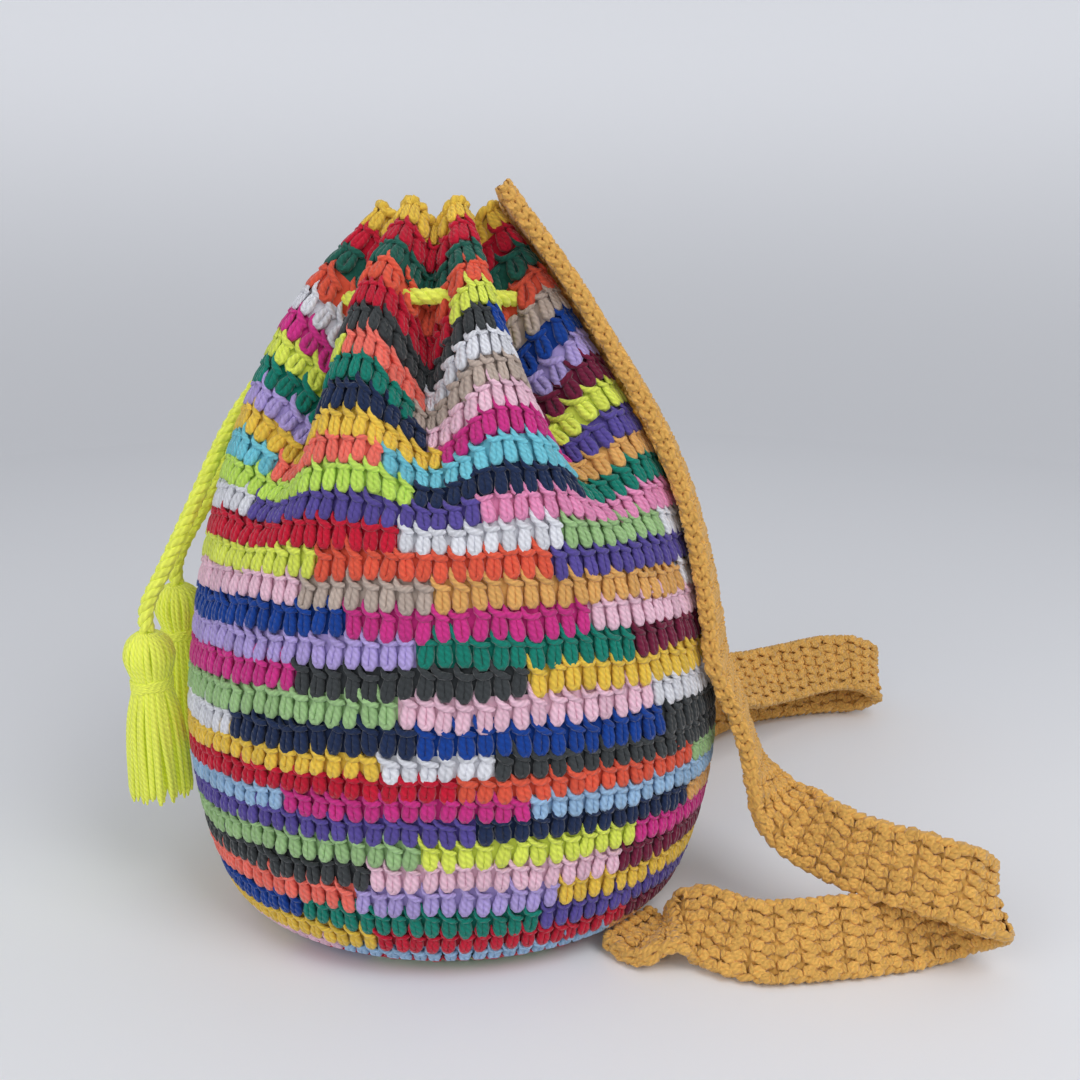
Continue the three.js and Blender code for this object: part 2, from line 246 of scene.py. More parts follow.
# A smooth line through points, as even steps, with its length; further columns follow along
def smooth(points, step):
    p = extended(np.array(points, float))
    gap = np.linalg.norm(np.diff(p[:, :3], axis=0), axis=1) ** 0.5
    t = np.linspace(0, 1, span_steps, endpoint=False)[:, None]
    fine = []
    for i in range(1, len(p) - 2):
        a, b, c = gap[i - 1:i + 2]
        leave = ((p[i] - p[i - 1]) / a - (p[i + 1] - p[i - 1]) / (a + b) + (p[i + 1] - p[i]) / b) * b
        arrive = ((p[i + 1] - p[i]) / b - (p[i + 2] - p[i]) / (b + c) + (p[i + 2] - p[i + 1]) / c) * b
        fine.append(stretch(t, p[i], leave, p[i + 1], arrive))
    fine = np.vstack(fine + [p[-2:-1]])
    run = run_along(fine[:, :3])
    at = np.linspace(0, run[-1], round(run[-1] / step) + 1)
    return np.stack([np.interp(at, run, column) for column in fine.T], axis=1), run[-1]


# A rope along a route, with the line and the length that it has
def rope(name, route):
    line, length = smooth(route, rope_step)
    along = unit(np.gradient(line, axis=0))
    side = np.zeros_like(line)
    side[0] = np.cross(along[0], rope_first_side)
    for i in range(len(line)):
        if i:
            side[i] = side[i - 1]
        side[i] -= along[i] * (side[i] @ along[i])
        side[i] = unit(side[i])
    other = np.cross(along, side)
    run = np.linspace(0, length, len(line))
    lines = []
    outs = []
    for k in range(rope_strands):
        turn = (2 * np.pi * (run / rope_lead + k / rope_strands))[:, None]
        out = np.cos(turn) * side + np.sin(turn) * other
        lines.append(line + rope_offset * out)
        outs.append(out)
    radius = np.full((rope_strands, len(line), 2), rope_radius)
    radius[:, :, 0] *= rope_strand_widening
    twist = strands(np.array(lines), np.array(outs), radius, rope_sides, np.zeros(rope_strands, int))
    piece = yarn_piece(name, [twist], [neon])
    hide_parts("drawstring")
    return piece, line, length


# The two tails, from the neck down the front to the tassels
right_route = [
    (-0.0245, -0.0525, 0.3026), (-0.031, -0.059, 0.3004), (-0.035, -0.067, 0.2958), (-0.0365, -0.076, 0.287),
    (-0.036, -0.087, 0.2735), (-0.033, -0.098, 0.259), (-0.028, -0.1085, 0.244), (-0.022, -0.117, 0.228),
    (-0.015, -0.125, 0.210), (-0.007, -0.134, 0.190), (-0.001, -0.143, 0.171), (0.003, -0.150, 0.157),
    (0.004, -0.152, 0.149), (0.004, -0.152, 0.141),
]
left_route = [
    (-0.060, -0.053, 0.2972), (-0.0537, -0.060, 0.296), (-0.050, -0.0685, 0.292), (-0.049, -0.0785, 0.2825),
    (-0.050, -0.090, 0.2685), (-0.051, -0.101, 0.254), (-0.051, -0.111, 0.239), (-0.050, -0.119, 0.223),
    (-0.048, -0.126, 0.207), (-0.045, -0.133, 0.193), (-0.043, -0.141, 0.180), (-0.041, -0.147, 0.168),
    (-0.040, -0.149, 0.160), (-0.040, -0.149, 0.152),
]

# Round the neck the cord is a ring between the crests and the valleys of the folds, tilted as the bag leans
lean = math.tan(math.radians(8))
neck_height = 0.2997
neck_half_width = 0.0463
neck_half_depth = 0.0469
neck_forward = 0.0075
tails_apart = 32
neck_points = 29
neck_turn = np.radians(np.linspace(tails_apart - 90, 270 - tails_apart, neck_points))
neck_side = neck_half_width * np.cos(neck_turn)
neck_ring = np.stack([
    neck_side - neck_height * lean,
    neck_half_depth * np.sin(neck_turn) - neck_forward,
    neck_height + neck_side * lean,
], axis=1)
rope("drawstring_neck", [right_route[0], *neck_ring, left_route[0]])
right_cord, right_line, right_length = rope("drawstring_tail_right", right_route)
left_cord, left_line, left_length = rope("drawstring_tail_left", left_route)


# Tassels: a bundle of neon yellow strands folded over the end of each tail, with a round head,
# four turns of yarn bound round the waist and a loose skirt with cut ends.
tassel_waist = 0.026
tassel_length = 0.088
tassel_waist_radius = 0.0078
tassel_head = [
    (0.0, 0.0032), (0.005, 0.0095), (0.0125, 0.0117), (0.019, 0.0102), (tassel_waist, tassel_waist_radius),
]
tassel_skirt = [
    (tassel_waist, tassel_waist_radius), (0.034, 0.0098), (0.044, 0.0122), (0.062, 0.0142),
    (tassel_length, 0.0150),
]
tassel_sides = 6
head_strands = 26
head_yarn = 0.0014
head_yarn_tip = 0.0004
head_step = 0.0028
skirt_layers = ((1.0, 34), (0.72, 24), (0.4, 12))
skirt_yarn = 0.00135
skirt_cut_end = 0.35
skirt_step = 0.0045
binding_turns = 4
binding_points = 97
binding_reach = 0.0098
binding_top = 0.0245
binding_pitch = 0.0013
binding_yarn = 0.0010
binding_yarn_tip = 0.0002
binding_sides = 7


# One strand along one line; its two ends are as thick as tip, where that is given
def single_strand(line, outward, thickness, sides, tip=None, yarn_index=0):
    radius = np.full((1, len(line), 2), thickness)
    if tip is not None:
        radius[0, [0, -1]] = tip
    return strands(line[None], outward[None], radius, sides, [yarn_index])


# How far down and how far out a tassel's outline goes, as even steps
def outline(points, step):
    return smooth([(drop, reach, 0.0) for drop, reach in points], step)[0].T[:2]


# A tassel that hangs from the point top, and its binding
def tassel(node, top, seed):
    chance = np.random.default_rng(seed)
    turn = np.arange(head_strands) * 2 * np.pi / head_strands + chance.uniform(-0.06, 0.06, head_strands)
    drop, reach = outline(tassel_head, head_step)
    out = np.stack([np.cos(turn), np.sin(turn), np.zeros_like(turn)], axis=1)[:, None]
    lines = top + out * reach[:, None] - np.array([0, 0, 1]) * drop[:, None]
    radius = np.full((head_strands, len(drop), 2), head_yarn)
    radius[:, 0] = head_yarn_tip
    outward = np.broadcast_to(out, lines.shape)
    parts = [strands(lines, outward, radius, tassel_sides, np.zeros(head_strands, int))]
    drop, reach = outline(tassel_skirt, skirt_step)
    hang = (drop - tassel_waist) / (tassel_length - tassel_waist)
    for layer, count in skirt_layers:
        turn = np.arange(count) * 2 * np.pi / count + chance.uniform(-0.09, 0.09, count)
        longer = 1 + chance.uniform(-0.03, 0.028, (count, 1))
        fall = tassel_waist + (drop - tassel_waist) * longer
        sway = chance.uniform(-0.10, 0.10, (count, 1))
        sway = sway * np.sin(hang * np.pi * chance.uniform(0.8, 2.2, (count, 1)))
        spin = turn[:, None] + sway
        wide = layer * reach * (1 + chance.uniform(-0.07, 0.05, (count, 1)) * hang)
        lines = top + np.stack([wide * np.cos(spin), wide * np.sin(spin), -fall], axis=2)
        outward = np.stack([np.cos(spin), np.sin(spin), np.zeros_like(spin)], axis=2)
        radius = np.full((count, len(drop), 2), skirt_yarn) * chance.uniform(0.9, 1.12, (count, 1, 1))
        radius[:, -1] *= skirt_cut_end
        parts.append(strands(lines, outward, radius, tassel_sides, np.zeros(count, int)))
    bundle = yarn_piece(node + "_strands", parts, [neon])
    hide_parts(node)
    wind = np.linspace(0, binding_turns, binding_points)
    spin = 2 * np.pi * wind
    down = -binding_top - binding_pitch * wind
    turns = np.stack([binding_reach * np.cos(spin), binding_reach * np.sin(spin), down], axis=1)
    outward = turns * (1, 1, 0)
    winding = single_strand(top + turns, outward, binding_yarn, binding_sides, binding_yarn_tip)
    tie = yarn_piece(node + "_binding", [winding], [neon])
    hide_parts(node + "_tie")
    return [bundle, tie]


right_tassel = tassel("tassel_right", np.array(right_route[-1]), seed=3)
left_tassel = tassel("tassel_left", np.array(left_route[-1]), seed=4)


# Bag wall: double crochet in thick cotton yarn, worked round and round from the base up, 100 stitches
# to a row. Left-over yarns follow each other along the rows, and the top is gathered into folds.
wall_yarns = {
    "crimson": (200, 16, 50), "orange": (232, 92, 66), "coral": (250, 118, 102), "gold": (240, 200, 74),
    "neon": (226, 238, 92), "lime": (196, 232, 96), "sage": (160, 198, 136), "emerald": (4, 128, 110),
    "forest": (28, 96, 82), "turquoise": (116, 202, 220), "sky": (156, 192, 226), "royal": (4, 62, 150),
    "navy": (24, 42, 78), "violet": (90, 76, 156), "lavender": (180, 162, 222), "magenta": (208, 48, 136),
    "rose": (238, 148, 192), "blush": (240, 196, 214), "burgundy": (116, 22, 58), "caramel": (228, 172, 98),
    "taupe": (192, 174, 162), "white": (228, 229, 236), "charcoal": (58, 62, 64),
}

# The yarns of half of each row, from the front over the bag's right side to the back, and how many
# stitches each makes, from the base up
wall_chart = [
    "royal 19 sage 15 crimson 16",
    "gold 13 crimson 21 charcoal 16",
    "blush 18 sky 19 caramel 13",
    "gold 21 crimson 17 burgundy 12",
    "royal 16 emerald 15 violet 19",
    "coral 20 lavender 12 gold 18",
    "charcoal 21 blush 15 burgundy 14",
    "sage 24 neon 13 magenta 13",
    "violet 27 navy 15 caramel 8",
    "sky 16 magenta 14 sky 20",
    "crimson 26 orange 16 sage 8",
    "gold 22 white 6 charcoal 22",
    "white 12 navy 12 royal 15 charcoal 11",
    "sage 23 blush 15 white 8 charcoal 4",
    "magenta 17 charcoal 13 gold 20",
    "lavender 24 emerald 13 burgundy 13",
    "royal 20 magenta 14 blush 16",
    "blush 17 taupe 8 caramel 18 white 7",
    "neon 18 orange 14 violet 18",
    "crimson 23 white 10 sage 9 white 8",
    "white 11 violet 17 rose 22",
    "lime 24 navy 12 emerald 14",
    "turquoise 11 coral 11 turquoise 15 caramel 13",
    "gold 26 magenta 12 violet 12",
    "lavender 12 navy 13 blush 13 neon 12",
    "emerald 24 taupe 14 burgundy 12",
    "neon 18 coral 7 white 14 lavender 11",
    "magenta 11 charcoal 21 royal 18",
    "white 11 crimson 17 neon 11 taupe 11",
    "orange 50",
    "forest 50",
    "crimson 50",
    "gold 50",
]
wall_rows = len(wall_chart)
wall_stitches = 100
wall_materials = [yarn(name, *colour) for name, colour in wall_yarns.items()]
wall_names = list(wall_yarns)
rim_rows = 4
striped_rows = wall_rows - rim_rows
far_side_shift = 9
most_run_over = 15


# The yarn of each stitch in one row of the chart
def chart_row(row):
    words = wall_chart[row].split()
    cells = []
    for name, count in zip(words[::2], words[1::2]):
        cells += [wall_names.index(name)] * int(count)
    return cells


# On the far side a striped row goes on with the yarns of another row, after its own run over a little
wall_cells = np.zeros((wall_rows, wall_stitches), int)
run_over = np.random.default_rng(5)
for row in range(wall_rows):
    first = chart_row(row)
    rest = chart_row((row + far_side_shift) % striped_rows) if row < striped_rows else first
    before, beyond = run_over.integers(0, most_run_over, 2)
    wall_cells[row] = first + first[-1:] * beyond + rest[beyond:-before - 1] + first[:1] * (before + 1)

# The wall's outline from the base edge to the rim: half depth, middle from front to back, and height
wall_profile = [
    (0.092, 0.0, 0.0), (0.120, 0.0, 0.022), (0.136, 0.0, 0.095),
    (0.117, -0.002, 0.206), (0.076, -0.008, 0.290), (0.030, -0.005, 0.347),
]
base_half_depth = wall_profile[0][0]
belly_half_depth = wall_profile[2][0]
belly_height = wall_profile[2][2]
shoulder_top = wall_profile[4][2]
rim_height = wall_profile[5][2]
belly_flatness = 218 / 272
low_row_height = 0.0098
high_row_height = 0.013
low_rows = 12
profile_steps = 160
wall_knots = extended(np.array(wall_profile))
wall_line = []
for i in range(1, len(wall_knots) - 2):
    t = np.linspace(0, 1, profile_steps, endpoint=False)[:, None]
    leave = (wall_knots[i + 1] - wall_knots[i - 1]) / 2
    arrive = (wall_knots[i + 2] - wall_knots[i]) / 2
    wall_line.append(stretch(t, wall_knots[i], leave, wall_knots[i + 1], arrive))
wall_line = np.vstack(wall_line + [wall_knots[-2:-1]])
wall_run = run_along(wall_line)
wall_slope = np.gradient(wall_line, wall_run, axis=0)

# The gathers: the angles of the fold crests, the depth of the valleys between them at the neck and at
# the rim, how far the rows dip there, and where the folds and the lean of the bag begin and are full
fold_crests = np.array([-22, 23, 68, 113, 158, 202, 247, 293, 338])
neck_fold = 0.027
rim_fold = 0.009
fold_dip = 1.1
valley_sharpness = 1.6
fold_start = 0.175
fold_full = 0.300
lean_full = 0.070


# Goes smoothly from 0 at low to 1 at high
def ease(value, low, high):
    share = np.clip((value - low) / (high - low), 0, 1)
    return share * share * (3 - 2 * share)


# A point of the wall: run goes up from the base edge, out stands off the cloth, and fold is how much
# of the gathers counts, as 1 follows every fold and 0 spans the crests
def wall_point(run, angle, out=0.0, fold=1.0):
    half, middle, level = (np.interp(run, wall_run, column) for column in wall_line.T)
    flare, rise = (np.interp(run, wall_run, wall_slope[:, k]) for k in (0, 2))
    angle = (angle - fold_crests[0]) % 360 + fold_crests[0]
    crest = np.searchsorted(fold_crests, angle, side="right") - 1
    share = (angle - fold_crests[crest]) / (fold_crests[crest + 1] - fold_crests[crest])
    valley = fold * ((1 - np.cos(2 * np.pi * share)) / 2) ** valley_sharpness
    depth = neck_fold + (rim_fold - neck_fold) * ease(level, shoulder_top, rim_height)
    depth = depth * ease(level, fold_start, fold_full) * valley
    half = half + out * rise - depth
    flatness = belly_flatness + (1 - belly_flatness) * ease(level, belly_height, rim_height)
    turn = np.radians(angle)
    x = half * flatness * np.cos(turn)
    y = middle + half * np.sin(turn)
    z = level - out * flare - fold_dip * depth
    slope = lean * ease(z, 0, lean_full)
    return np.stack([x - z * slope, y, z + x * slope], axis=-1)


# The same by stitches round and rows up; above the last row it goes straight up
def wall_at(u, v):
    run = np.interp(v, [0, low_rows, wall_rows], [0, low_rows * low_row_height, wall_run[-1]])
    point = wall_point(run, u * 360 / wall_stitches - 90)
    point[..., 2] += np.maximum(v - wall_rows, 0) * high_row_height
    return point


# The point, the direction out of the cloth and the width of a stitch there
def wall_surface(u, v):
    nudge = 0.05
    sideways = wall_at(u + nudge, v) - wall_at(u - nudge, v)
    below = np.clip(v - nudge, 0, wall_rows - 2 * nudge)
    upward = wall_at(u, below + 2 * nudge) - wall_at(u, below)
    normal = unit(np.cross(sideways, upward))
    return wall_at(u, v), normal, np.linalg.norm(sideways, axis=-1) / (2 * nudge)


# The last four rows have half as many stitches, as their stitches lie in deeper gathers
def rim_surface(u, v):
    point, normal, pitch = wall_surface(2 * u, v)
    return point, normal, 2 * pitch


# One stitch is a tongue of two legs round the row below and a bar across its top, which begins as
# a point between the tongues of the row above. Each point: along the row, up, outward in mm, thickness.
stitch_loop = np.array([
    (-0.12, 0.74, -2.2, 0.8), (-0.205, 0.30, -1.1, 1.0), (-0.18, 0.08, -1.0, 0.97),
    (-0.08, -0.02, -1.05, 0.9), (0.08, -0.02, -1.05, 0.9),
    (0.18, 0.08, -1.0, 0.97), (0.205, 0.30, -1.1, 1.0), (0.12, 0.74, -2.2, 0.8),
])
stitch_bar = np.array([
    (-0.56, 1.28, -1.9, 0.15), (-0.52, 1.08, -1.2, 0.75), (-0.40, 0.90, -1.0, 0.95),
    (-0.12, 0.78, -0.55, 1.0), (0.20, 0.75, -0.6, 1.0), (0.46, 0.74, -1.6, 0.7),
])
plain_loop = stitch_loop[[0, 1, 3, 4, 6, 7]]
plain_bar = np.vstack([(-0.40, 0.90, -1.6, 0.15), stitch_bar[3:5], (0.46, 0.74, -1.6, 0.15)])
stitch_gauge = 0.0076
stitch_least = 0.62
stitch_most = 1.12
stitch_middle = 0.4
stitch_skew = 0.05
stitch_sides = 6
plain_sides = 5
leg_radius = 0.00195
leg_depth = 0.0019
bar_share = 0.125
bar_thickness = 0.0015
millimetre = 0.001

# The waves that a row makes up and down on its way round: height, waves in a row, and turn from row to row
wander_waves = ((0.06, 5, 2.1), (0.05, 13, -1.3))


# Stitches at u along and v up a surface, each a little different from the next
def crochet(u, v, surface, yarns, row_height, seed,
            loop=stitch_loop, bar=stitch_bar, sides=stitch_sides, leg=leg_radius):
    chance = np.random.default_rng(seed)
    count = len(u)
    shift = chance.uniform(-0.07, 0.07, (count, 1))
    around = 2 * np.pi * u / wall_stitches
    wander = sum(high * np.sin(waves * around + turn * v) for high, waves, turn in wander_waves)
    lift = chance.uniform(-0.06, 0.06, (count, 1)) + wander[:, None]
    skew = chance.uniform(-0.26, 0.26, (count, 1)) + stitch_skew
    swell = chance.uniform(0.80, 1.12, (count, 1))
    thick = chance.uniform(0.86, 1.12, (count, 1))
    tilt = chance.uniform(-0.30, 0.22, (count, 1))
    bar_depth = chance.uniform(-0.7, 0.15, (count, 1))
    parts = []
    for shape in (loop, bar):
        deep = np.repeat(shape[None, :, 2], count, axis=0)
        rise = shape[:, 1] + lift
        if shape is bar:
            rise = rise + tilt * shape[:, 0]
            deep = deep + bar_depth
        place_u = u[:, None] + shape[:, 0] * swell + shift + skew * (rise - stitch_middle)
        point, normal, pitch = surface(place_u, v[:, None] + rise)
        scale = np.clip(pitch / stitch_gauge, stitch_least, stitch_most)
        lines = point + normal * (deep * millimetre * scale)[..., None]
        if shape is bar:
            half_height = bar_share * row_height * thick * (0.5 + 0.5 * scale)
            radius = np.stack([half_height, bar_thickness * scale], axis=2)
        else:
            radius = np.stack([leg * scale, leg_depth * scale], axis=2)
        parts.append(strands(lines, normal, radius * shape[:, 3:], sides, yarns))
    return parts


# The rows go into four pieces, from the base up
wall_bands = [(0, 9), (9, 17), (17, 25), (25, 33)]
rim_seed = 40
table_gap = 0.0002
for k, (low, high) in enumerate(wall_bands, 1):
    full_rows = np.arange(low, min(high, striped_rows))
    row = np.repeat(full_rows, wall_stitches)
    column = np.tile(np.arange(wall_stitches), len(full_rows))
    row_height = low_row_height if high <= low_rows else high_row_height
    parts = crochet(column + 0.5, row.astype(float), wall_surface, wall_cells[row, column], row_height, k)
    for top_row in range(max(low, striped_rows), high):
        half = wall_stitches // 2
        parts += crochet(np.arange(half) + 0.5, np.full(half, float(top_row)), rim_surface,
                         wall_cells[top_row, ::2], row_height, rim_seed + top_row,
                         bar=stitch_bar if top_row < wall_rows - 1 else plain_bar)
    band = yarn_piece(f"wall_stitches_{k}", parts, wall_materials, floor=table_gap)
    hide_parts("bag_body")


# Rim: the cast-off edge of the wall, a chain of two gold yarns that wind round each other, worked
# into the tops of the last row.
chain_swing = 0.0021
chain_wave = 0.0009
rim_yarn = 0.0022
rim_below = 0.12
rim_sides = 7
rim_steps = 4
cloth_depth = 0.0029
chain_at = np.linspace(0, wall_stitches, wall_stitches * rim_steps + 1)
point, normal, pitch = wall_surface(chain_at, np.full(len(chain_at), wall_rows - rim_below))
parts = []
for phase in (0, 1):
    swing = np.pi * (chain_at / 2 + phase)
    chain = point + normal * (-cloth_depth + chain_swing * np.cos(swing))[:, None]
    chain[:, 2] += chain_wave * np.sin(2 * swing)
    parts.append(single_strand(chain, normal, rim_yarn, rim_sides, yarn_index=wall_names.index("gold")))
rim = yarn_piece("wall_rim_chain", parts, wall_materials)
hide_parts("bag_body")


# Base: a flat disc in one plain yarn, worked in rounds from the middle outward, each round with more
# stitches. The wall grows out of its last round, and the bag stands on it.
base_rounds = 9
least_stitches = 6
base_seed = 50
base_leg = 0.00225


# The underside of the base, as a round of so many stitches sees it
def base_surface(stitches):
    def surface(u, v):
        turn = 2 * np.pi * u / stitches
        reach = base_half_depth * v / base_rounds
        point = np.stack([reach * belly_flatness * np.cos(turn), reach * np.sin(turn), 0 * turn], axis=-1)
        return point, np.broadcast_to((0.0, 0.0, -1.0), point.shape), 2 * np.pi * np.abs(reach) / stitches

    return surface


parts = []
for k in range(base_rounds):
    count = max(least_stitches, round(wall_stitches * (k + 0.5) / base_rounds))
    parts += crochet(np.arange(count) + 0.5, np.full(count, float(k)), base_surface(count),
                     np.full(count, wall_names.index("crimson")), low_row_height, base_seed + k,
                     plain_loop, plain_bar, plain_sides, base_leg)
base = yarn_piece("base_rounds", parts, wall_materials, floor=table_gap)
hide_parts("bag_body")


# Cloth behind the loops: the strands that lie deeper in the wall and the base, and the inside of the
# bag. It is one skin that goes out over the base, up the wall, over the rim and down again inside.
base_shares = (0.02, 0.35, 0.7)
floor_shares = (0.8, 0.4, 0.02)
floor_height = 0.006
floor_row = 3
round_columns = np.arange(wall_stitches)


# The points of one row, as deep below the surface as deep says
def cloth_ring(row, deep):
    point, normal, pitch = wall_surface(round_columns, np.full(wall_stitches, float(row)))
    return point - deep * normal


base_edge = wall_at(round_columns, np.zeros(wall_stitches))
cloth_rings = [base_edge * (share, share, 0) + (0, 0, cloth_depth) for share in base_shares]
cloth_rows = [1] * len(base_shares)
for row in range(wall_rows + 1):
    cloth_rings.append(np.maximum(cloth_ring(row, cloth_depth), (-1, -1, cloth_depth)))
    cloth_rows.append(row)
for row in range(wall_rows, floor_row, -1):
    cloth_rings.append(cloth_ring(row, 2 * cloth_depth))
    cloth_rows.append(row - 1)
for share in floor_shares:
    cloth_rings.append(cloth_rings[-1] * (share, share, 0) + (0, 0, floor_height))
    cloth_rows.append(floor_row - 1)
cloth_points = np.array(cloth_rings)
index = np.arange(cloth_points[..., 0].size).reshape(cloth_points.shape[:2])
after = np.roll(index, -1, axis=1)
cloth_quads = np.stack([index[:-1], after[:-1], after[1:], index[1:]], axis=-1).reshape(-1, 4)
cloth_yarns = wall_cells[np.clip(np.array(cloth_rows[:-1]), 0, wall_rows - 1)].reshape(-1)
cloth_skin = (cloth_points.reshape(-1, 3), cloth_quads, np.zeros((cloth_quads.size, 2)), cloth_yarns)
cloth = yarn_piece("wall_cloth", [cloth_skin], wall_materials)
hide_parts("bag_body")


# Straps: two flat bands in mustard cotton yarn, worked in short rows that turn at each end, with a
# chain along both edges. They are sewn to the rim and to the base edge at the back.
mustard = yarn("mustard", 234, 180, 92)
strap_half = 0.019
strap_thick = 0.008
strap_row = 0.0105
strap_gap = 0.0005
strap_lift = 0.0015
strap_leave_height = 0.128
strap_top_spread = 0.020
strap_top_over = 0.001
strap_base_angle = 38
strap_flat_end = 0.018
strap_wall_points = 17
strap_step = 0.001
strap_columns = 6
strap_margin = 0.0012
strap_brick = 0.18
strap_bar_height = 0.011
strap_leg = 0.00235
strap_yarn = 0.0019
strap_yarn_tip = 0.0004
strap_chain_sides = 6
edge_inset = 0.0024
edge_steps = 6
cast_off_inset = 0.0022
cast_off_link = 0.0052
cast_off_depth = 0.0016
cast_off_wave = 0.0006
cast_off_points = 33
core_inset = 0.003
core_cover = 0.0018
core_end = 0.1
core_steps = 2
core_sides = 12

# The free loop of each strap: the band's lower edge, as x, distance behind the belly and height, and
# the way that the band's width points from there
right_loop = [
    (0.034, 0.006, 0.102, -1, 0.1, 0.1), (0.040, 0.019, 0.066, -0.93, 0, 0.36),
    (0.052, 0.037, 0.043, -0.75, -0.1, 0.65), (0.068, 0.061, 0.033, -0.45, -0.1, 0.88),
    (0.082, 0.088, 0.031, -0.35, -0.12, 0.92), (0.089, 0.109, 0.028, -0.35, -0.2, 0.92),
    (0.085, 0.124, 0.017, -0.4, -0.2, 0.9), (0.076, 0.112, 0.0044, -0.5, -0.1, 0.85),
    (0.082, 0.088, 0.0012, -0.55, 0, 0.83), (0.091, 0.046, 0.0012, -0.55, 0, 0.83),
    (0.093, 0.006, 0.0012, -0.58, 0.12, 0.8), (0.080, -0.027, 0.0042, -0.62, 0.42, 0.6),
]
left_loop = [
    (-0.054, 0.002, 0.100, -0.95, -0.3, 0.1), (-0.092, 0.022, 0.064, -0.7, -0.6, 0.35),
    (-0.128, 0.048, 0.042, -0.45, -0.45, 0.77), (-0.160, 0.078, 0.033, -0.38, -0.3, 0.87),
    (-0.184, 0.108, 0.029, -0.4, -0.18, 0.9), (-0.196, 0.132, 0.023, -0.45, -0.1, 0.9),
    (-0.204, 0.142, 0.012, -0.5, 0, 0.87), (-0.210, 0.129, 0.003, -0.55, 0.1, 0.83),
    (-0.208, 0.098, 0.0014, -0.55, 0.05, 0.83), (-0.190, 0.050, 0.0014, -0.5, -0.25, 0.82),
    (-0.150, 0.008, 0.0014, -0.4, -0.4, 0.8), (-0.098, -0.022, 0.0038, -0.45, -0.6, 0.6),
]


# Middle points and width directions of a strap: down the back from the rim, through the free loop and
# flat on the table to the base edge
def strap_route(side, touch_angle, leave_spread, loop):
    descent = np.linspace(0, 1, strap_wall_points)
    leave_run = np.interp(strap_leave_height, wall_line[:, 2], wall_run)
    run = wall_run[-1] + (leave_run - wall_run[-1]) * descent
    angle = 90 - side * touch_angle * descent
    out = strap_thick / 2 + strap_gap
    touch = wall_point(run, angle, out, 0)
    width = unit(wall_point(run, angle + 1, out, 0) - wall_point(run, angle - 1, out, 0))
    spread = strap_top_spread + (leave_spread - strap_top_spread) * descent
    reach = spread - np.abs(touch[:, 0] - wall_point(run, 90, out, 0)[:, 0])
    on_wall = touch - side * reach[:, None] * width
    top = on_wall[0] + strap_top_over * unit(on_wall[0] - on_wall[1])
    loop = np.array(loop)
    loop_width = unit(loop[:, 3:])
    free = loop[:, :3] + (0, belly_half_depth, 0) + strap_half * loop_width
    end_run = np.interp(strap_thick + strap_lift + strap_gap, wall_line[:, 2], wall_run)
    end_angle = 90 - side * strap_base_angle
    before, end, after = (wall_point(end_run, end_angle + turn, strap_gap, 0) for turn in (-1, 0, 1))
    end_width = unit((after - before) * (1, 1, 0))
    end[2] = strap_thick / 2 + strap_lift
    flat = end + strap_flat_end * np.array([end_width[1], -end_width[0], 0])
    middle = np.vstack([top, on_wall, free, flat, end])
    return np.hstack([middle, np.vstack([width[:1], width, loop_width, end_width, end_width])])


